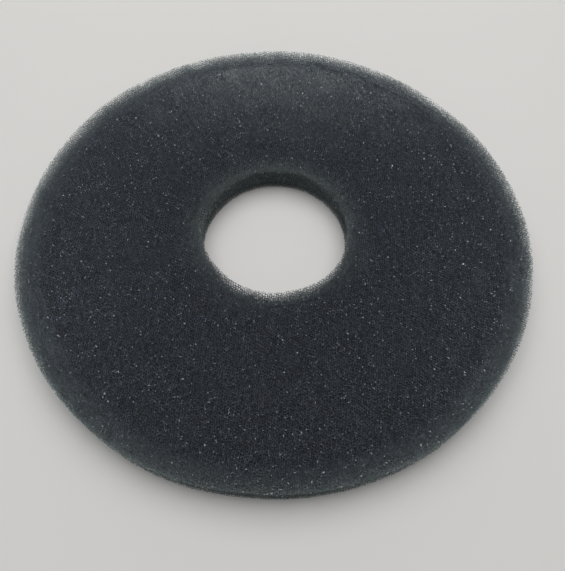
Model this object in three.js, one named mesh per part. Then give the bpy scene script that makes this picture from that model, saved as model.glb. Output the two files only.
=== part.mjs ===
// A flat ring of open-cell polyurethane foam, the sponge of a pond or aquarium filter.
//
// Units are millimetres and +Z is up. The origin is the middle of the face that the ring
// lies on. The ring is one piece of foam, punched out of a flat sheet, so both of its cut
// walls draw in a little between two soft lips.

import * as THREE from 'three';

// Driving dimensions. Each can be changed by itself.
const outerDiameter = 172;
const holeDiameter = 48.5;
const thickness = 10;
const lipRounding = 0.8; // radius of the four cut edges
const waistDepth = 0.6; // how far the middle of a cut wall draws in behind its lips

// How finely the ring is divided.
const stepsAround = 96;
const stepsPerLip = 3;
const stepsPerWaist = 6;

/**
 * One rounded lip of the section, a quarter circle.
 *
 * @param {number} r distance of the quarter circle's centre from the axis
 * @param {number} z height of the centre
 * @param {number} radius radius of the rounding
 * @param {number} quarter which quarter: 0 = right and up, then on anticlockwise
 * @returns {THREE.Vector2[]} its points, anticlockwise
 */
function lip(r, z, radius, quarter) {
  const from = (quarter * Math.PI) / 2;
  const curve = new THREE.EllipseCurve(r, z, radius, radius, from, from + Math.PI / 2);
  return curve.getPoints(stepsPerLip);
}

/**
 * The drawn-in stretch of a cut wall between its two lips.
 *
 * @param {number} r distance of the lips from the axis
 * @param {number} from height where the stretch starts
 * @param {number} to height where it ends
 * @param {number} inward direction into the foam along the radius, +1 or -1
 * @returns {THREE.Vector2[]} its points without the ends, which the lips hold already
 */
function waist(r, from, to, inward) {
  // A quadratic curve passes half way to its control point, so that point lies twice as deep.
  const control = new THREE.Vector2(r + inward * waistDepth * 2, (from + to) / 2);
  const curve = new THREE.QuadraticBezierCurve(
    new THREE.Vector2(r, from),
    control,
    new THREE.Vector2(r, to),
  );
  return curve.getPoints(stepsPerWaist).slice(1, -1);
}

/** The ring's closed section: outer wall upwards, top face, hole's wall downwards, underside. */
function ringSection() {
  const outer = outerDiameter / 2;
  const hole = holeDiameter / 2;
  const radius = Math.min(lipRounding, thickness / 4);
  const low = radius;
  const high = thickness - radius;
  const points = [
    ...lip(outer - radius, low, radius, 3),
    ...waist(outer, low, high, -1),
    ...lip(outer - radius, high, radius, 0),
    ...lip(hole + radius, high, radius, 1),
    ...waist(hole, high, low, 1),
    ...lip(hole + radius, low, radius, 2),
  ];
  points.push(points[0].clone());
  return points;
}

/** The foam ring as one closed solid, its section turned about the vertical axis. */
function foamRing() {
  const geometry = new THREE.LatheGeometry(ringSection(), stepsAround);
  const material = new THREE.MeshStandardMaterial({ color: 0x3a3f42, roughness: 0.95, metalness: 0 });
  const mesh = new THREE.Mesh(geometry, material);
  mesh.name = 'foam_ring';
  mesh.rotation.x = Math.PI / 2; // the lathe turns about Y, and the ring's axis is Z
  return mesh;
}

const spongeFilter = new THREE.Group();
spongeFilter.add(foamRing());

export default spongeFilter;
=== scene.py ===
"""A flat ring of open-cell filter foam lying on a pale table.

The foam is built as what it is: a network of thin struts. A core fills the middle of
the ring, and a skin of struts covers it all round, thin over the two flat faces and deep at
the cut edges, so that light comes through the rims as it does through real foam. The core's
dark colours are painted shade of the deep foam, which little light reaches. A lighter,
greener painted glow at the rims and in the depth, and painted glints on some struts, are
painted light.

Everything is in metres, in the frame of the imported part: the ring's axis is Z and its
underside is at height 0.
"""

import logging
import math
from dataclasses import dataclass, fields
from enum import Enum

import bpy
import numpy as np
from mathutils import Matrix, Vector


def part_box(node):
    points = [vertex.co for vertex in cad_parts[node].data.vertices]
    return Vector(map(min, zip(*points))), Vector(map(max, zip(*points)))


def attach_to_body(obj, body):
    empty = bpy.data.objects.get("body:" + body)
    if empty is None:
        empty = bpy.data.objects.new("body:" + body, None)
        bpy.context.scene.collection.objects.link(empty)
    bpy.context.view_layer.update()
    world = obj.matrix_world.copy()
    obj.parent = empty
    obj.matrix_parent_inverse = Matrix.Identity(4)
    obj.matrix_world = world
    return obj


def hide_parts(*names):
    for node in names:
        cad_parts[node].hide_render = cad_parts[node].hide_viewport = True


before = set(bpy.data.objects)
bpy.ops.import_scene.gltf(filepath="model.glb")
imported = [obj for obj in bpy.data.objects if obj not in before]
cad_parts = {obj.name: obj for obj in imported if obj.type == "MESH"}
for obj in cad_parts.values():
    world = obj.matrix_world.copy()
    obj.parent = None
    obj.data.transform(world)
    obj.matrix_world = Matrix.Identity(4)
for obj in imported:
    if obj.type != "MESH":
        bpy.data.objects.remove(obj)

Array = np.ndarray
Tree = bpy.types.NodeTree
Socket = bpy.types.NodeSocket
Place = tuple[float, float, float]
Colour = tuple[float, float, float]

MM = 0.001
FOAM_NODE = "foam_ring"
BODY = "root"
TONE_ATTRIBUTE = "foam_tone"
BAKE_MAP = "OFBake"

log = logging.getLogger("sponge_filter")


# ---------------------------------------------------------------- steady random numbers

# Large odd numbers that spread neighbouring whole numbers far apart: one for each axis, one
# for the seed and one for each round of mixing.
AXIS_MIXERS = (0x9E3779B97F4A7C15, 0xC2B2AE3D27D4EB4F, 0x165667B19E3779F9)
SEED_MIXER = 0xD6E8FEB86659FD93
ROUND_MIXER = 0xBF58476D1CE4E5B9

# How far a scattered centre lies from the middle of its cube on each axis, at most, as a
# share of the cube.
CENTRE_SCATTER = 0.45

# The shortest and longest wave of a drift, as shares of its mean wavelength.
WAVE_RANGE = (0.7, 1.4)


def scatter(cells: Array, seed: int) -> Array:
    """Gives each whole-number cell its own three random numbers, the same on every run.

    The three coordinates are multiplied by large odd numbers and mixed bit by bit. The top
    53 bits of the result are read as a fraction.

    Args:
        cells: whole numbers, shape (n, 3).
        seed: tells one use of the numbers from another.

    Returns:
        Numbers from -1 to 1, shape (n, 3).
    """
    whole = cells.astype(np.int64).astype(np.uint64)
    mixed = np.bitwise_xor.reduce(whole * np.array(AXIS_MIXERS, dtype=np.uint64), axis=1)
    mixed += np.uint64((seed + 1) * SEED_MIXER % 2**64)
    columns = []
    for _ in range(3):
        mixed ^= mixed >> np.uint64(29)
        mixed *= np.uint64(ROUND_MIXER)
        mixed ^= mixed >> np.uint64(32)
        columns.append((mixed >> np.uint64(11)).astype(np.float64) / 2.0**53)
    return np.stack(columns, axis=1) * 2.0 - 1.0


def nearest_cell_distance(points: Array, spacing: float, seed: int) -> Array:
    """Distance from each point to the nearest of a cloud of scattered cell centres.

    Space is cut into cubes with one centre at a random place in each. The nearest centre is
    looked for in the point's own cube and the 26 round it.

    Args:
        points: places, shape (n, 3).
        spacing: edge of a cube, about the width of one cell.
        seed: picks the cloud.

    Returns:
        Distances as shares of the spacing, shape (n,).
    """
    scaled = points / spacing
    home = np.floor(scaled).astype(np.int64)
    nearest = np.full(len(points), np.inf)
    for shift in np.ndindex(3, 3, 3):
        cell = home + np.array(shift) - 1
        centre = cell + 0.5 + CENTRE_SCATTER * scatter(cell, seed)
        nearest = np.minimum(nearest, np.linalg.norm(scaled - centre, axis=1))
    return nearest


def drift(points: Array, wavelength: float, seed: int) -> Array:
    """A soft random flow: each axis moves with three crossed sine waves.

    Args:
        points: places, shape (n, 3).
        wavelength: mean length of the waves.
        seed: picks the directions and phases.

    Returns:
        Moves from about -1 to 1 on each axis, shape (n, 3).
    """
    random = np.random.default_rng(seed)
    total = np.zeros_like(points)
    for _ in range(3):
        direction = random.normal(size=(3, 3))
        direction /= np.linalg.norm(direction, axis=0)
        pace = 2.0 * math.pi / (wavelength * random.uniform(*WAVE_RANGE, size=3))
        phase = random.uniform(0.0, 2.0 * math.pi, size=3)
        total += np.sin(points @ direction * pace + phase)
    return total / 2.0


# ------------------------------------------------------------------------ the ring's form


@dataclass(frozen=True)
class Ripple:
    """One wave of a cut outline that isn't quite round: so many bulges round the ring."""

    bulges: int
    height: float
    turned: float

    def at(self, angle: Array) -> Array:
        """How far the outline stands out at each angle, a cosine round the ring."""
        return self.height * np.cos(self.bulges * (angle - math.radians(self.turned)))


class Edge(Enum):
    """The two cut edges of the ring."""

    OUTER = "outer"
    HOLE = "hole"


@dataclass(frozen=True)
class RingForm:
    """The outer form of the foam, and how deep a point lies in it."""

    outer_radius: float
    hole_radius: float
    thickness: float
    lip_rounding: float = 0.8 * MM
    waist_depth: float = 0.6 * MM
    outer_ripples: tuple[Ripple, ...] = (
        Ripple(2, 0.17 * MM, -73.0),
        Ripple(3, 0.27 * MM, -21.0),
        Ripple(5, 0.11 * MM, 4.0),
        Ripple(6, 0.13 * MM, 13.0),
        Ripple(7, 0.09 * MM, -15.0),
        Ripple(13, 0.08 * MM, 0.0),
    )
    hole_ripples: tuple[Ripple, ...] = (
        Ripple(3, 0.14 * MM, -51.0),
        Ripple(4, 0.08 * MM, -1.0),
        Ripple(5, 0.14 * MM, -35.0),
        Ripple(6, 0.08 * MM, 8.0),
    )

    def radius_at(self, edge: Edge, angle: Array) -> Array:
        """Radius of a cut edge at each angle: its nominal radius plus its ripples.

        Args:
            edge: which of the two edges.
            angle: angles round the axis.

        Returns:
            Radii, shaped as the angles.
        """
        ripples = self.outer_ripples if edge is Edge.OUTER else self.hole_ripples
        nominal = self.outer_radius if edge is Edge.OUTER else self.hole_radius
        return nominal + sum(ripple.at(angle) for ripple in ripples)

    def across(self, points: Array) -> tuple[Array, Array, Array]:
        """Each point's distance from the axis, and the two edges' radii at its angle."""
        angle = np.arctan2(points[:, 1], points[:, 0])
        radius = np.hypot(points[:, 0], points[:, 1])
        return radius, self.radius_at(Edge.OUTER, angle), self.radius_at(Edge.HOLE, angle)

    def depth(self, points: Array) -> Array:
        """Depth of each point below the foam's surface, negative outside.

        The section is a rectangle with rounded corners whose ends draw in at half height
        by the waist's depth, along a parabola.

        Args:
            points: places, shape (n, 3).

        Returns:
            Depths, shape (n,).
        """
        radius, outer, hole = self.across(points)
        half_height = self.thickness / 2.0
        up = points[:, 2] - half_height
        waist = self.waist_depth * np.clip(1.0 - (up / half_height) ** 2, 0.0, 1.0)
        half_width = (outer - hole) / 2.0 - waist
        beyond_x = np.abs(radius - (outer + hole) / 2.0) - (half_width - self.lip_rounding)
        beyond_z = np.abs(up) - (half_height - self.lip_rounding)
        corner = np.hypot(np.maximum(beyond_x, 0.0), np.maximum(beyond_z, 0.0))
        inner = np.minimum(np.maximum(beyond_x, beyond_z), 0.0)
        return self.lip_rounding - corner - inner

    def rim_closeness(self, points: Array, reach: float) -> Array:
        """1 at a cut edge, falling to 0 at a distance of reach from it, as a cube."""
        radius, outer, hole = self.across(points)
        near = np.minimum(outer - radius, radius - hole)
        return np.clip(1.0 - near / reach, 0.0, 1.0) ** 3


@dataclass(frozen=True)
class CoreForm:
    """The part of the foam that is too deep to see through.

    Its section is a rectangle with the two upper corners cut off at 45 degrees, since the
    foam is seen from above and light comes through its upper edges. All corners are soft.
    The skins are the struts' depth over each side, and each cut is measured from the corner.
    """

    ring: RingForm
    top_skin: float = 0.8 * MM
    under_skin: float = 0.1 * MM
    wall_skin: float = 1.0 * MM
    outer_cut: float = 6.4 * MM
    hole_cut: float = 5.0 * MM
    softness: float = 1.2 * MM
    # The painted glow reaches this far in from a cut edge; its deep part sets in and grows over these
    # depths.
    painted_glow_reach: float = 13.0 * MM
    painted_deep_glow_start: float = 1.0 * MM
    painted_deep_glow_reach: float = 1.4 * MM

    @property
    def top(self) -> float:
        """Height of the core's top."""
        return self.ring.thickness - self.top_skin

    def depth(self, points: Array) -> Array:
        """Depth of each point below the core's surface, negative outside.

        It is the least of the distances to the section's six sides, or a little less where
        two are nearly equal, which softens the corners: a logarithm of a sum of
        exponentials. A cut corner's side holds the points whose distances from the wall and
        from the top add up to the cut.

        Args:
            points: places, shape (n, 3).

        Returns:
            Depths, shape (n,).
        """
        radius, outer, hole = self.ring.across(points)
        height = points[:, 2]
        below_top = self.ring.thickness - height
        sides = [
            height - self.under_skin,
            self.top - height,
            outer - radius - self.wall_skin,
            radius - hole - self.wall_skin,
            (outer - radius + below_top - self.outer_cut) / math.sqrt(2.0),
            (radius - hole + below_top - self.hole_cut) / math.sqrt(2.0),
        ]
        least = np.minimum.reduce(sides)
        spread = sum(np.exp((least - side) / self.softness) for side in sides)
        return least - self.softness * np.log(spread)

    def painted_glow(self, points: Array) -> Array:
        """How much of the painted glow's colour each point takes, from 0 to 1.

        The glow is painted light. It is large near a cut edge, where it stands for light that
        comes through the edges, and deep below the surface, where it stands for the light that
        real foam scatters down to there.

        Args:
            points: places, shape (n, 3).

        Returns:
            Shares, shape (n,).
        """
        deep = np.clip((self.ring.depth(points) - self.painted_deep_glow_start) / self.painted_deep_glow_reach, 0.0, 1.0)
        return np.maximum(self.ring.rim_closeness(points, self.painted_glow_reach), deep)

    def corners(self) -> Array:
        """The section's six corners, anticlockwise from the hole's lower one.

        Each has three numbers: the share of the way from the hole's wall to the outer one,
        the distance from that place along the radius, and the height.
        """
        thick = self.ring.thickness
        wall = self.wall_skin
        return np.array(
            [
                [0.0, wall, self.under_skin],
                [1.0, -wall, self.under_skin],
                [1.0, -wall, thick - (self.outer_cut - wall)],
                [1.0, -(self.outer_cut - self.top_skin), self.top],
                [0.0, self.hole_cut - self.top_skin, self.top],
                [0.0, wall, thick - (self.hole_cut - wall)],
            ]
        )


# ------------------------------------------------------------------------------- meshes


def new_object(name: str, vertices: Array, faces: Array) -> bpy.types.Object:
    """Makes a mesh object at the origin from whole arrays.

    Args:
        name: name of the object and of its mesh.
        vertices: places, shape (n, 3).
        faces: vertex numbers, shape (m, corners), all with the same number of corners.

    Returns:
        The object, linked to the scene.
    """
    mesh = bpy.data.meshes.new(name)
    count, corners = faces.shape
    mesh.vertices.add(len(vertices))
    mesh.vertices.foreach_set("co", vertices.astype(np.float32).ravel())
    mesh.loops.add(count * corners)
    mesh.loops.foreach_set("vertex_index", faces.astype(np.int32).ravel())
    mesh.polygons.add(count)
    mesh.polygons.foreach_set("loop_start", np.arange(0, count * corners, corners, dtype=np.int32))
    mesh.update(calc_edges=True)
    mesh.validate()
    thing = bpy.data.objects.new(name, mesh)
    bpy.context.scene.collection.objects.link(thing)
    return thing


def paint_points(thing: bpy.types.Object, tones: Array) -> None:
    """Stores each vertex's tone, painted glint share and painted glow share as a colour attribute.

    Args:
        thing: the mesh object.
        tones: three shares for each vertex, shape (n, 3).
    """
    colours = np.ones((len(tones), 4), dtype=np.float32)
    colours[:, :3] = tones
    layer = thing.data.attributes.new(TONE_ATTRIBUTE, "FLOAT_COLOR", "POINT")
    layer.data.foreach_set("color", colours.ravel())


def lay_out(thing: bpy.types.Object, corners: Array) -> None:
    """Gives a mesh the map that its patterns are baked through.

    Args:
        thing: the mesh object.
        corners: one place in the unit square for each face corner, shape (n, 2).
    """
    layer = thing.data.uv_layers.new(name=BAKE_MAP)
    layer.uv.foreach_set("vector", corners.astype(np.float32).ravel())


@dataclass(frozen=True)
class FoamCore:
    """The middle of the ring, one closed surface with shallow pits, in dark colours that are painted shade
    of the deep foam.
    """

    form: CoreForm
    steps_round: int = 720
    steps_per_side: tuple[int, ...] = (30, 8, 12, 34, 10, 8)
    pit_width: float = 1.3 * MM
    pit_depth: float = 0.25 * MM
    pit_reach: float = 0.6
    pit_seed: int = 5
    tone_width: float = 0.9 * MM
    tone_gain: float = 1.6
    tone_loss: float = 0.3
    tone_seed: int = 9

    def section(self) -> Array:
        """The closed section with sharp corners, its sides divided evenly.

        Returns:
            Share, distance and height of each step, shape (n, 3), as for the corners.
        """
        corners = self.form.corners()
        sides = []
        for start, stop, steps in zip(corners, np.roll(corners, -1, axis=0), self.steps_per_side):
            part = np.linspace(0.0, 1.0, steps, endpoint=False)[:, None]
            sides.append(start + (stop - start) * part)
        return np.concatenate(sides)

    def surface(self) -> tuple[Array, Array]:
        """Vertices and quads of the core: its section carried round the axis, then pitted.

        Each vertex first settles on the form's soft surface, and then moves inwards, most
        at the middles of the pits. Both moves are along the normal, which is the section's
        direction turned by a quarter.

        Returns:
            Vertices, shape (n, 3), and quads, shape (m, 4).
        """
        share, inset, height = self.section().T
        angle = np.linspace(0.0, 2.0 * math.pi, self.steps_round, endpoint=False)[:, None]
        hole = self.form.ring.radius_at(Edge.HOLE, angle)
        outer = self.form.ring.radius_at(Edge.OUTER, angle)
        radius = hole + (outer - hole) * share + inset
        height = height + 0.0 * angle
        out = np.roll(height, -1, axis=1) - np.roll(height, 1, axis=1)
        up = np.roll(radius, 1, axis=1) - np.roll(radius, -1, axis=1)
        size = np.hypot(out, up)
        normal = np.stack([out * np.cos(angle), out * np.sin(angle), up], axis=2) / size[..., None]
        smooth = np.stack([radius * np.cos(angle), radius * np.sin(angle), height], axis=2)
        smooth, normal = smooth.reshape(-1, 3), normal.reshape(-1, 3)
        for _ in range(2):
            smooth = smooth + normal * self.form.depth(smooth)[:, None]
        from_middle = nearest_cell_distance(smooth, self.pit_width, self.pit_seed)
        pit = np.clip(1.0 - from_middle / self.pit_reach, 0.0, 1.0)
        vertices = smooth - normal * (self.pit_depth * pit)[:, None]

        i, next_i, j, next_j = self._grid()
        steps = sum(self.steps_per_side)
        quads = [i * steps + j, next_i * steps + j, next_i * steps + next_j, i * steps + next_j]
        return vertices, np.stack(quads, axis=1)

    def _grid(self) -> tuple[Array, Array, Array, Array]:
        """Number of each quad's place round and along the section, and of the next ones."""
        steps = sum(self.steps_per_side)
        i, j = np.meshgrid(np.arange(self.steps_round), np.arange(steps), indexing="ij")
        i, j = i.ravel(), j.ravel()
        return i, (i + 1) % self.steps_round, j, (j + 1) % steps

    def layout(self) -> Array:
        """The bake map: angle across the square and the section's path up it."""
        i, _, j, _ = self._grid()
        across = np.stack([i, i + 1, i + 1, i], axis=1) / self.steps_round
        upwards = np.stack([j, j, j + 1, j + 1], axis=1) / sum(self.steps_per_side)
        return np.stack([across, upwards], axis=2).reshape(-1, 2)

    def tones(self, points: Array) -> Array:
        """Tone, painted glint share and painted glow share of the core's points.

        The tone is dark at the middles of scattered cells and grows with the square of the
        distance from them. The core has no glints.

        Args:
            points: places, shape (n, 3).

        Returns:
            Three shares from 0 to 1 for each point, shape (n, 3).
        """
        from_middle = nearest_cell_distance(points, self.tone_width, self.tone_seed)
        tone = np.clip(from_middle * self.tone_gain - self.tone_loss, 0.0, 1.0) ** 2
        return np.stack([tone, np.zeros_like(tone), self.form.painted_glow(points)], axis=1)

    def build(self) -> bpy.types.Object:
        """Makes the core as an object.

        Returns:
            The object, with its tones and its bake map.
        """
        vertices, quads = self.surface()
        core = new_object("foam_core", vertices, quads)
        core.data.shade_smooth()
        paint_points(core, self.tones(vertices))
        lay_out(core, self.layout())
        return core


# ------------------------------------------------------------------------- strut network


@dataclass(frozen=True)
class Struts:
    """Many struts: both ends of each, and random numbers of its own and of its two nodes.

    Every array has the shape (n, 3), and the random numbers run from -1 to 1.
    """

    start: Array
    stop: Array
    own: Array
    start_node: Array
    stop_node: Array

    @property
    def middle(self) -> Array:
        """Middles of the struts."""
        return (self.start + self.stop) / 2.0

    def pick(self, chosen: Array) -> "Struts":
        """The struts that are true in chosen, shape (n,)."""
        return Struts(*(getattr(self, each.name)[chosen] for each in fields(self)))


@dataclass(frozen=True)
class StrutNetwork:
    """The foam's skin of struts, four meeting at each node as in real open-cell foam.

    The nodes start as a diamond lattice, in which every node has four neighbours at equal
    angles. The lattice is turned out of line with the ring, stretched by a slow drift, and
    each node is pushed a random way.
    """

    ring: RingForm
    core: CoreForm
    strut_length: float = 0.52 * MM
    shortest_share: float = 0.15
    turns: tuple[float, float, float] = (0.61, 0.37, 0.83)
    margin: float = 2.0 * MM
    node_width: float = 0.18 * MM
    width_spread: float = 0.35
    overlap: float = 0.03 * MM
    node_push: float = 0.22 * MM
    drifts: tuple[tuple[float, float], ...] = ((0.5 * MM, 13.0 * MM), (0.10 * MM, 3.0 * MM))
    ragged: float = 0.1 * MM
    rooted: float = 0.2 * MM
    tone_power: float = 2.0
    own_tone: float = 0.4
    # Painted glints: which shallow struts take the near-white glint colour, how strongly, and how much
    # wider they are.
    glint_share: float = 0.055
    glint_depth: float = 0.45 * MM
    glint_power: float = 1.5
    glint_swell: float = 2.3
    sectors: int = 10
    seed: int = 11

    @property
    def quarter(self) -> float:
        """A quarter of the lattice's cube edge, in which node places are whole numbers."""
        return self.strut_length / math.sqrt(3.0)

    def turning(self) -> Array:
        """Rotation matrix that sets the lattice askew to the ring, three turns in a row."""
        matrix = np.eye(3)
        for axis, turn in enumerate(self.turns):
            a, b = (axis + 1) % 3, (axis + 2) % 3
            step = np.eye(3)
            step[a, a] = step[b, b] = math.cos(turn)
            step[a, b], step[b, a] = -math.sin(turn), math.sin(turn)
            matrix = step @ matrix
        return matrix

    def even_nodes(self) -> Array:
        """Whole-number places of the lattice's even nodes in a slab round the ring.

        Two of the lattice's three steps run over a square of numbers, and the third is
        counted from where each pair meets the ring's middle plane.

        Returns:
            Whole numbers, shape (n, 3).
        """
        steps = np.array([[0, 2, 2], [2, 0, 2], [2, 2, 0]])
        world = steps @ self.turning().T * self.quarter
        flat = world[:2] - world[:2, 2:] / world[2, 2] * world[2]
        reach = self.ring.outer_radius + self.margin
        slant = self.ring.thickness * np.linalg.norm(world[2, :2]) / abs(world[2, 2])
        spare = 2
        steps_per_metre = np.linalg.norm(np.linalg.inv(flat[:, :2]), axis=0)
        spread = np.ceil((reach + slant) * steps_per_metre).astype(int) + spare
        layers = int(math.ceil(self.ring.thickness / 2.0 / abs(world[2, 2]))) + spare
        first, second, layer = np.meshgrid(
            np.arange(-spread[0], spread[0] + 1),
            np.arange(-spread[1], spread[1] + 1),
            np.arange(-layers, layers + 1),
            indexing="ij",
        )
        first, second, layer = first.ravel(), second.ravel(), layer.ravel()
        short = self.ring.thickness / 2.0 - first * world[0, 2] - second * world[1, 2]
        third = np.round(short / world[2, 2]).astype(np.int64) + layer
        numbers = np.stack([first, second, third], axis=1)
        place = numbers @ world
        radius = np.hypot(place[:, 0], place[:, 1])
        beyond = 2.0 * self.strut_length
        near = (radius < reach) & (radius > self.ring.hole_radius - self.margin)
        near &= (place[:, 2] > -beyond) & (place[:, 2] < self.ring.thickness + beyond)
        return numbers[near] @ steps

    def place(self, nodes: Array) -> Array:
        """Where the nodes lie: the turned lattice plus its drift and each node's own push."""
        lattice = nodes @ self.turning().T * self.quarter
        moved = lattice + self.node_push * scatter(nodes, self.seed)
        for index, (size, length) in enumerate(self.drifts):
            moved += size * drift(lattice, length, self.seed + index)
        return moved

    def struts(self) -> Struts:
        """All struts that show.

        A strut shows if its middle lies in the foam and outside the core. One that sticks
        out of the foam's surface is cut off there.

        Returns:
            The struts.
        """
        near = self.even_nodes()
        bonds = np.array([[1, 1, 1], [1, -1, -1], [-1, 1, -1], [-1, -1, 1]])
        far = (near[None] + bonds[:, None]).reshape(-1, 3)
        near = np.tile(near, (len(bonds), 1))
        number = scatter(near + far, self.seed + 1)
        start, stop = self.place(near), self.place(far)

        cut = self.ragged * number[:, 0]
        start_depth = self.ring.depth(start) - cut
        stop_depth = self.ring.depth(stop) - cut
        outside = np.minimum(start_depth, stop_depth) < 0.0
        inside = np.maximum(start_depth, stop_depth) > 0.0
        buried = self.core.depth((start + stop) / 2.0) > self.rooted
        share = start_depth / np.where(outside, start_depth - stop_depth, 1.0)
        crossing = start + (stop - start) * share[:, None]
        cut_start = np.where((outside & (start_depth < 0.0))[:, None], crossing, start)
        cut_stop = np.where((outside & (stop_depth < 0.0))[:, None], crossing, stop)
        shortest = self.shortest_share * self.strut_length
        long_enough = np.linalg.norm(cut_stop - cut_start, axis=1) > shortest
        near_number, far_number = scatter(near, self.seed + 2), scatter(far, self.seed + 2)
        every = Struts(cut_start, cut_stop, number, near_number, far_number)
        return every.pick(inside & ~buried & long_enough)

    def blades(self, struts: Struts) -> Array:
        """Corners of the struts, each a slim closed body of four triangles.

        A strut ends in a straight edge at either node, the two edges at right angles, so it
        is widest at its nodes and thinnest half way, as foam struts are. One that would
        reach below the ring's underside is raised onto it.

        Args:
            struts: the struts.

        Returns:
            Corners, shape (n, 4, 3): two at the first end and two at the second.
        """
        along = struts.stop - struts.start
        along = along / np.linalg.norm(along, axis=1, keepdims=True)
        # The small uneven shift keeps a direction of all zeros from coming up.
        sideways = struts.own + np.array([0.011, 0.017, 0.023])
        first = np.cross(along, sideways)
        first /= np.linalg.norm(first, axis=1, keepdims=True)
        second = np.cross(along, first)
        swell = 1.0 + self.glint_swell * self.glints(struts)[:, None]
        start_reach = first * self.half_width(struts.start_node) * swell
        stop_reach = second * self.half_width(struts.stop_node)
        start = struts.start - self.overlap * along
        stop = struts.stop + self.overlap * along
        sides = [start + start_reach, start - start_reach, stop + stop_reach, stop - stop_reach]
        corners = np.stack(sides, axis=1)
        corners[:, :, 2] -= np.minimum(corners[:, :, 2].min(axis=1), 0.0)[:, None]
        return corners

    def half_width(self, node: Array) -> Array:
        """Half the width of the struts at a node with these random numbers, shape (n, 1)."""
        return self.node_width * (1.0 + self.width_spread * node[:, 1:2]) / 2.0

    def glints(self, struts: Struts) -> Array:
        """How strongly each strut glints, from 0 to 1, shape (n,).

        Few struts near the surface do: they stand for the scraps of skin that are left in some
        pores and are widened there, and their painted glint colour stands in for the light those
        scraps reflect.
        """
        shallow = self.ring.depth(struts.middle) < self.glint_depth
        chosen = (struts.own[:, 0] + 1.0) / (2.0 * self.glint_share)
        return np.where(shallow, np.clip(1.0 - chosen, 0.0, 1.0) ** self.glint_power, 0.0)

    def tones(self, struts: Struts) -> Array:
        """Tone, painted glint share and painted glow share of each strut's corners.

        The struts that meet at a node share its tone there, so that nodes show as light and
        dark grains. A strut carries its painted glint only at its first end.

        Args:
            struts: the struts.

        Returns:
            Three shares from 0 to 1 for each corner, shape (n, 4, 3).
        """
        own = (struts.own[:, 2] + 1.0) / 2.0
        nodes = (struts.start_node, struts.stop_node)
        start, stop = (((node[:, 0] + 1.0) / 2.0) ** self.tone_power for node in nodes)
        tone = np.stack([start, start, stop, stop], axis=1)
        tone *= (1.0 - self.own_tone + self.own_tone * own)[:, None]
        # Painted glint share, at the strut's first end only.
        glint = self.glints(struts)[:, None] * np.array([1.0, 1.0, 0.0, 0.0])
        # Painted glow share, read at the strut's middle.
        painted_rim_glow = np.repeat(self.core.painted_glow(struts.middle)[:, None], 4, axis=1)
        return np.stack([tone, glint, painted_rim_glow], axis=2)

    def layout(self, count: int) -> Array:
        """The bake map of so many struts: a square board with one small field for each.

        The four triangles of a strut lie in its field as two halves of two rectangles.

        Args:
            count: number of struts.

        Returns:
            One place for each corner of each triangle, shape (count * 12, 2).
        """
        side = int(math.ceil(math.sqrt(count)))
        index = np.arange(count)
        field_corner = np.stack([index % side, index // side], axis=1)
        low, high, half = 0.06, 0.94, 0.5
        gap = 0.03
        left = [(low, low), (half - gap, low), (low, high)]
        left_rest = [(half - gap, high), (low, high), (half - gap, low)]
        right = [(half + gap, low), (high, low), (half + gap, high)]
        right_rest = [(high, high), (half + gap, high), (high, low)]
        shape = np.array(left + left_rest + right + right_rest)
        return ((field_corner[:, None, :] + shape[None]) / side).reshape(-1, 2)

    def build(self) -> list[bpy.types.Object]:
        """Makes the network as one object for each sector of the ring.

        Returns:
            The objects, with their tones and bake maps.
        """
        struts = self.struts()
        corners, tones = self.blades(struts), self.tones(struts)
        share = np.arctan2(struts.middle[:, 1], struts.middle[:, 0]) / (2.0 * math.pi) + 0.5
        sector = np.clip((share * self.sectors).astype(int), 0, self.sectors - 1)
        triangles = np.array([[0, 1, 2], [1, 0, 3], [2, 3, 0], [3, 2, 1]])
        made = []
        for index in range(self.sectors):
            chosen = sector == index
            count = int(chosen.sum())
            faces = (np.arange(count)[:, None, None] * 4 + triangles).reshape(-1, 3)
            piece = new_object(f"foam_struts_{index + 1}", corners[chosen].reshape(-1, 3), faces)
            paint_points(piece, tones[chosen].reshape(-1, 3))
            lay_out(piece, self.layout(count))
            made.append(piece)
        return made


# ------------------------------------------------------------------------------ finishes


def link(tree: Tree, source: Socket, target: Socket) -> None:
    """Joins two sockets."""
    tree.links.new(source, target)


def new_group(name: str, inputs: tuple[str, ...], output: str) -> Tree:
    """Makes an empty node group with plain number sockets.

    Args:
        name: the group's name.
        inputs: names of its inputs.
        output: name of its output.

    Returns:
        The group.
    """
    group = bpy.data.node_groups.new(name, "ShaderNodeTree")
    for each in inputs:
        group.interface.new_socket(each, in_out="INPUT", socket_type="NodeSocketFloat")
    group.interface.new_socket(output, in_out="OUTPUT", socket_type="NodeSocketFloat")
    return group


def mathematics(tree: Tree, operation: str, *values: float | Socket, clamp: bool = False) -> Socket:
    """Adds a maths node.

    Args:
        tree: node tree or group.
        operation: Blender's name of the operation.
        values: its inputs in order, each a number or a socket.
        clamp: keeps the result between 0 and 1.

    Returns:
        The socket of the result.
    """
    node = tree.nodes.new("ShaderNodeMath")
    node.operation = operation
    node.use_clamp = clamp
    for target, value in zip(node.inputs, values):
        if isinstance(value, Socket):
            link(tree, value, target)
        else:
            target.default_value = value
    return node.outputs[0]


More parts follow.
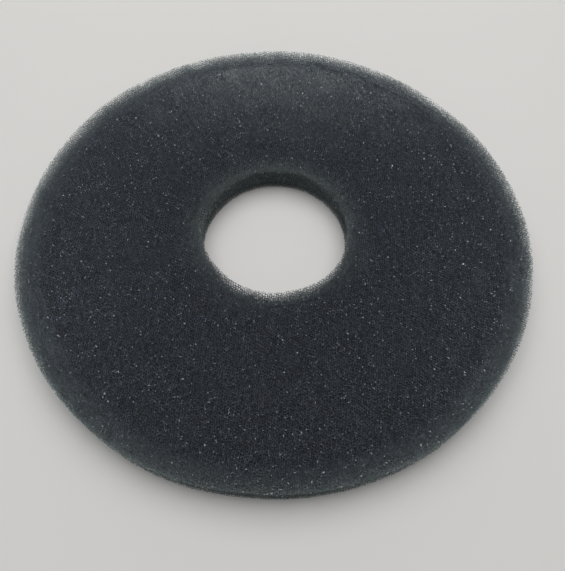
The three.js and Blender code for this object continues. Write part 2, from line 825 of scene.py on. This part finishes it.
def mottle_group() -> Tree:
    """Node group: cloudy light and dark patches of the foam, by place on the object.

    Returns:
        The group, with the inputs Patch Size and Contrast and the output Factor, which
        wanders about 1.
    """
    name = "foam_mottle"
    if name in bpy.data.node_groups:
        return bpy.data.node_groups[name]
    group = new_group(name, ("Patch Size", "Contrast"), "Factor")
    inputs, outputs = group.nodes.new("NodeGroupInput"), group.nodes.new("NodeGroupOutput")
    place = group.nodes.new("ShaderNodeTexCoord")
    noise = group.nodes.new("ShaderNodeTexNoise")
    noise.inputs["Detail"].default_value = 3.0
    link(group, place.outputs["Object"], noise.inputs["Vector"])
    link(group, mathematics(group, "DIVIDE", 1.0, inputs.outputs["Patch Size"]), noise.inputs["Scale"])
    spread = mathematics(group, "SUBTRACT", noise.outputs["Fac"], 0.5)
    factor = mathematics(group, "MULTIPLY_ADD", spread, inputs.outputs["Contrast"], 1.0)
    link(group, factor, outputs.inputs["Factor"])
    return group


def pore_group() -> Tree:
    """Node group: the nodes of the deeper foam as light grains among dark pores. The pores'
    darkness is painted shade.

    Each grain has a random brightness, raised to a power so that bright ones are few.

    Returns:
        The group, with the inputs Pore Size and Grain and the output Tone. The tone is 1 at
        the grains and 0 beyond the share Grain of a pore's size from them.
    """
    name = "foam_pores"
    if name in bpy.data.node_groups:
        return bpy.data.node_groups[name]
    group = new_group(name, ("Pore Size", "Grain"), "Tone")
    inputs, outputs = group.nodes.new("NodeGroupInput"), group.nodes.new("NodeGroupOutput")
    place = group.nodes.new("ShaderNodeTexCoord")
    cells = group.nodes.new("ShaderNodeTexVoronoi")
    scale = mathematics(group, "DIVIDE", 1.0, inputs.outputs["Pore Size"])
    link(group, place.outputs["Object"], cells.inputs["Vector"])
    link(group, scale, cells.inputs["Scale"])
    parts = group.nodes.new("ShaderNodeSeparateColor")
    link(group, cells.outputs["Color"], parts.inputs["Color"])
    reach = mathematics(group, "DIVIDE", cells.outputs["Distance"], inputs.outputs["Grain"])
    near = mathematics(group, "SUBTRACT", 1.0, reach, clamp=True)
    rarity = 1.5
    brightness = mathematics(group, "POWER", parts.outputs["Red"], rarity)
    tone = mathematics(group, "MULTIPLY", near, brightness)
    link(group, tone, outputs.inputs["Tone"])
    return group


@dataclass(frozen=True)
class StrutFinish:
    """Charcoal foam: matt and cloudy, with a painted glow, greener and lighter, at its cut edges
    and in its depth, which stands in for light that comes through the foam.

    The tone runs from the dark to the light colour. The tone attribute's blue share mixes
    the painted glow's colour into both, less into the dark one, and its green share the
    painted glint's colour.
    """

    name: str = "foam_struts"
    dark: Colour = (0.044, 0.051, 0.066)
    light: Colour = (0.19, 0.222, 0.282)
    # Painted glow: a lighter, greener colour that stands in for light coming through the foam.
    painted_rim_glow: Colour = (0.36, 0.41, 0.41)
    painted_rim_glow_share: float = 0.9
    painted_rim_glow_evenness: float = 0.45
    # Painted glint: a near-white colour standing in for light reflected by scraps of skin.
    glint: Colour = (0.88, 0.91, 0.90)
    roughness: float = 0.5
    specular: float = 0.15
    patch_size: float = 5.0 * MM
    patch_contrast: float = 0.3
    bump_size: float = 0.12 * MM
    bump_height: float = 0.02 * MM
    bump_strength: float = 0.5

    def build(self) -> bpy.types.Material:
        """Makes the material and returns it."""
        material = bpy.data.materials.new(self.name)
        material.use_nodes = True
        tree = material.node_tree
        shader = tree.nodes["Principled BSDF"]
        attribute = tree.nodes.new("ShaderNodeAttribute")
        attribute.attribute_name = TONE_ATTRIBUTE
        shares = tree.nodes.new("ShaderNodeSeparateColor")
        link(tree, attribute.outputs["Color"], shares.inputs["Color"])
        tone = self.tone(tree, shares.outputs["Red"])
        # Painted glow of light through the foam, mixed into both ends of the tone, less into the dark one.
        painted_rim_glow_share = mathematics(tree, "MULTIPLY", shares.outputs["Blue"], self.painted_rim_glow_share)
        light_end = self._mix(tree, painted_rim_glow_share, self.light, self.painted_rim_glow)
        dark_end_glow_share = mathematics(tree, "MULTIPLY", painted_rim_glow_share, self.painted_rim_glow_evenness)
        dark_end = self._mix(tree, dark_end_glow_share, self.dark, self.painted_rim_glow)
        with_painted_glow = self._mix(tree, tone, dark_end, light_end)
        # Painted glints over the mottled colour.
        glinting = self._mix(tree, shares.outputs["Green"], self._cloud(tree, with_painted_glow), self.glint)
        link(tree, glinting, shader.inputs["Base Color"])
        shader.inputs["Roughness"].default_value = self.roughness
        shader.inputs["Specular IOR Level"].default_value = self.specular
        self._roughen(tree, shader)
        return material

    def tone(self, tree: Tree, share: Socket) -> Socket:
        """The tone of the body from the tone attribute's red share."""
        return share

    @staticmethod
    def _mix(tree: Tree, share: Socket, first: Colour | Socket, second: Colour | Socket) -> Socket:
        """Mixes two colours.

        Args:
            tree: node tree of the material.
            share: socket of the share, from 0 for the first colour to 1 for the second.
            first: first colour, a constant or a socket.
            second: second colour, a constant or a socket.

        Returns:
            The socket of the mixed colour.
        """
        node = tree.nodes.new("ShaderNodeMix")
        node.data_type = "RGBA"
        link(tree, share, node.inputs["Factor"])
        targets = [socket for socket in node.inputs if socket.type == "RGBA"]
        for target, colour in zip(targets, (first, second)):
            if isinstance(colour, tuple):
                target.default_value = (*colour, 1.0)
            else:
                link(tree, colour, target)
        return next(socket for socket in node.outputs if socket.type == "RGBA")

    def _cloud(self, tree: Tree, colour: Socket) -> Socket:
        """Multiplies a colour by the mottle and returns the result's socket."""
        mottle = tree.nodes.new("ShaderNodeGroup")
        mottle.node_tree = mottle_group()
        mottle.inputs["Patch Size"].default_value = self.patch_size
        mottle.inputs["Contrast"].default_value = self.patch_contrast
        scale = tree.nodes.new("ShaderNodeVectorMath")
        scale.operation = "SCALE"
        link(tree, colour, scale.inputs[0])
        link(tree, mottle.outputs["Factor"], scale.inputs["Scale"])
        return scale.outputs[0]

    def _roughen(self, tree: Tree, shader: bpy.types.ShaderNode) -> None:
        """Adds the fine grain of the polymer to the shader's normal."""
        place = tree.nodes.new("ShaderNodeTexCoord")
        noise = tree.nodes.new("ShaderNodeTexNoise")
        noise.inputs["Scale"].default_value = 1.0 / self.bump_size
        noise.inputs["Detail"].default_value = 1.0
        bump = tree.nodes.new("ShaderNodeBump")
        bump.inputs["Distance"].default_value = self.bump_height
        bump.inputs["Strength"].default_value = self.bump_strength
        link(tree, place.outputs["Object"], noise.inputs["Vector"])
        link(tree, noise.outputs["Fac"], bump.inputs["Height"])
        link(tree, bump.outputs["Normal"], shader.inputs["Normal"])


@dataclass(frozen=True)
class CoreFinish(StrutFinish):
    """The deeper foam, with its grains and pores as a pattern on the core. Its darker colours
    are painted shade of the deep foam, which little light reaches.
    """

    name: str = "foam_deep"
    # Painted shade: darker than the struts' colours, for the deep foam that little light reaches.
    dark: Colour = (0.005, 0.006, 0.008)
    light: Colour = (0.12, 0.14, 0.178)
    # Painted glow of the deeper foam at the cut edges and in the depth.
    painted_rim_glow: Colour = (0.25, 0.285, 0.285)
    pore_size: float = 0.5 * MM
    grain: float = 0.6
    coarse_share: float = 0.6
    coarse_floor: float = 0.7

    def tone(self, tree: Tree, share: Socket) -> Socket:
        """The pores' tone, and some of the tone attribute's coarser one."""
        pores = tree.nodes.new("ShaderNodeGroup")
        pores.node_tree = pore_group()
        pores.inputs["Pore Size"].default_value = self.pore_size
        pores.inputs["Grain"].default_value = self.grain
        coarse = mathematics(tree, "MULTIPLY_ADD", share, self.coarse_share, self.coarse_floor)
        return mathematics(tree, "MULTIPLY", pores.outputs["Tone"], coarse, clamp=True)


@dataclass(frozen=True)
class TableFinish:
    """The pale, slightly glossy table top."""

    name: str = "pale_table"
    colour: Colour = (0.80, 0.785, 0.765)
    roughness: float = 0.42
    specular: float = 0.35

    def build(self) -> bpy.types.Material:
        """Makes the material, one even colour, and returns it."""
        material = bpy.data.materials.new(self.name)
        material.use_nodes = True
        shader = material.node_tree.nodes["Principled BSDF"]
        shader.inputs["Base Color"].default_value = (*self.colour, 1.0)
        shader.inputs["Roughness"].default_value = self.roughness
        shader.inputs["Specular IOR Level"].default_value = self.specular
        return material


# -------------------------------------------------------------------------------- studio


@dataclass(frozen=True)
class Camera:
    """The camera, looking down on the ring from the front."""

    elevation: float = 57.87
    distance: float = 203.2 * MM
    aim: Place = (2.55 * MM, -16.9 * MM, 0.0)
    roll: float = -1.84
    focal_share: float = 1.0165
    nearest: float = 0.01
    farthest: float = 50.0

    def build(self) -> bpy.types.Object:
        """Makes the camera and hands it to the scene.

        It stands on the side of -Y at its elevation and distance from the origin, and its
        axis runs through the aim on the table. focal_share is the focal length as a share
        of the sensor's width.

        Returns:
            The camera object.
        """
        rise = math.radians(self.elevation)
        place = Vector((0.0, -math.cos(rise), math.sin(rise))) * self.distance
        data = bpy.data.cameras.new("camera")
        data.sensor_fit = "HORIZONTAL"
        data.lens = data.sensor_width * self.focal_share
        data.clip_start = self.nearest
        data.clip_end = self.farthest
        camera = bpy.data.objects.new("camera", data)
        camera.location = place
        facing = (Vector(self.aim) - place).to_track_quat("-Z", "Y").to_matrix()
        rolled = facing @ Matrix.Rotation(math.radians(-self.roll), 3, "Z")
        camera.rotation_euler = rolled.to_euler()
        bpy.context.scene.collection.objects.link(camera)
        bpy.context.scene.camera = camera
        return camera


# Light that has come through the foam's edges is a little green.
EDGE_GREEN: Colour = (0.93, 1.0, 0.93)


@dataclass(frozen=True)
class SoftLight:
    """One rectangular area light that faces a point, its spread in degrees."""

    name: str
    place: Place
    size: tuple[float, float]
    power: float
    colour: Colour = (1.0, 1.0, 1.0)
    target: Place = (0.0, 0.0, 0.0)
    spread: float = 180.0

    def build(self) -> bpy.types.Object:
        """Makes the light and returns it."""
        data = bpy.data.lights.new(self.name, "AREA")
        data.shape = "RECTANGLE"
        data.size, data.size_y = self.size
        data.energy = self.power
        data.color = self.colour
        data.spread = math.radians(self.spread)
        light = bpy.data.objects.new(self.name, data)
        light.location = self.place
        facing = Vector(self.target) - Vector(self.place)
        light.rotation_euler = facing.to_track_quat("-Z", "Y").to_euler()
        bpy.context.scene.collection.objects.link(light)
        return light


@dataclass(frozen=True)
class Studio:
    """The table, the lights and the even pale surroundings.

    The edge lights fall on the foam alone. They stand for the light that real foam passes
    on inside its edges, behind and at both sides.
    """

    table_half_width: float = 6.0
    backdrop: Colour = (0.64, 0.63, 0.62)
    sky_strength: float = 0.138
    lights: tuple[SoftLight, ...] = (
        SoftLight("ceiling", (0.0, 0.36, 1.0), (1.6, 1.3), 11.2),
        SoftLight("window", (0.0, 1.2, 0.38), (1.6, 0.4), 2.16, (0.96, 1.0, 0.96)),
        SoftLight("fill", (0.0, -0.9, 0.35), (1.4, 0.4), 0.7, (0.94, 0.98, 1.0)),
    )
    edge_lights: tuple[SoftLight, ...] = (
        SoftLight(
            "edge_light_back", (0.0, 0.2, 0.095), (0.55, 0.03), 0.16, EDGE_GREEN, (0.0, 0.1, 0.01), 28.0
        ),
        SoftLight(
            "edge_light_left", (-0.2, 0.0, 0.11), (0.3, 0.03), 0.06, EDGE_GREEN, (-0.09, 0.0, 0.01), 40.0
        ),
        SoftLight(
            "edge_light_right", (0.2, 0.0, 0.11), (0.3, 0.03), 0.05, EDGE_GREEN, (0.09, 0.0, 0.01), 40.0
        ),
    )

    def build(self, foam: list[bpy.types.Object]) -> None:
        """Makes the table, the sky and the lights.

        Args:
            foam: the pieces that the edge lights fall on. They leave out the table.
        """
        half = self.table_half_width
        corners = np.array([[-half, -half, 0.0], [half, -half, 0.0], [half, half, 0.0], [-half, half, 0.0]])
        table = new_object("table", corners, np.array([[0, 1, 2, 3]]))
        table.data.materials.append(TableFinish().build())
        self._sky()
        bpy.context.scene.view_settings.view_transform = "Standard"
        for light in self.lights:
            light.build()
        lit = bpy.data.collections.new("lit_by_edge_lights")
        for piece in foam:
            lit.objects.link(piece)
        for each in self.edge_lights:
            edge_light = each.build()
            edge_light.light_linking.receiver_collection = lit
            edge_light.visible_camera = False

    def _sky(self) -> None:
        """Makes the surroundings: pale where they are seen, and dimmer as a light."""
        world = bpy.data.worlds.new("sky")
        world.use_nodes = True
        tree = world.node_tree
        seen = tree.nodes["Background"]
        seen.inputs["Color"].default_value = (*self.backdrop, 1.0)
        lighting = tree.nodes.new("ShaderNodeBackground")
        lighting.inputs["Strength"].default_value = self.sky_strength
        lighting.inputs["Color"].default_value = (1.0, 1.0, 1.0, 1.0)
        path = tree.nodes.new("ShaderNodeLightPath")
        either = tree.nodes.new("ShaderNodeMixShader")
        link(tree, path.outputs["Is Camera Ray"], either.inputs["Fac"])
        link(tree, lighting.outputs[0], either.inputs[1])
        link(tree, seen.outputs[0], either.inputs[2])
        link(tree, either.outputs[0], tree.nodes["World Output"].inputs["Surface"])
        bpy.context.scene.world = world


# ---------------------------------------------------------------------------------- main


def ring_form() -> RingForm:
    """Reads the ring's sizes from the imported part.

    Returns:
        The form, with the outer radius and thickness from the node's box and the hole's
        radius from its nearest vertex to the axis.
    """
    low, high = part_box(FOAM_NODE)
    mesh = bpy.data.objects[FOAM_NODE].data
    flat = np.empty(len(mesh.vertices) * 3)
    mesh.vertices.foreach_get("co", flat)
    places = flat.reshape(-1, 3)
    hole = float(np.hypot(places[:, 0], places[:, 1]).min())
    return RingForm(outer_radius=(high.x - low.x) / 2.0, hole_radius=hole, thickness=high.z - low.z)


def attach(piece: bpy.types.Object, material: bpy.types.Material) -> None:
    """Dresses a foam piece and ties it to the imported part.

    Args:
        piece: a piece of the foam.
        material: its finish.
    """
    piece.data.materials.append(material)
    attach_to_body(piece, BODY)
    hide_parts(FOAM_NODE)
    log.info("%s: %d faces", piece.name, len(piece.data.polygons))


def main() -> None:
    """Builds the camera, the studio and the foam."""
    logging.basicConfig(level=logging.INFO, format="%(name)s: %(message)s")
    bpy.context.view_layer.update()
    ring = ring_form()
    core_form = CoreForm(ring)
    core = FoamCore(core_form).build()
    skin = StrutNetwork(ring, core_form).build()
    attach(core, CoreFinish().build())
    strut_finish = StrutFinish().build()
    for piece in skin:
        attach(piece, strut_finish)

    Camera().build()
    Studio().build([core, *skin])


if __name__ == "__main__":
    main()
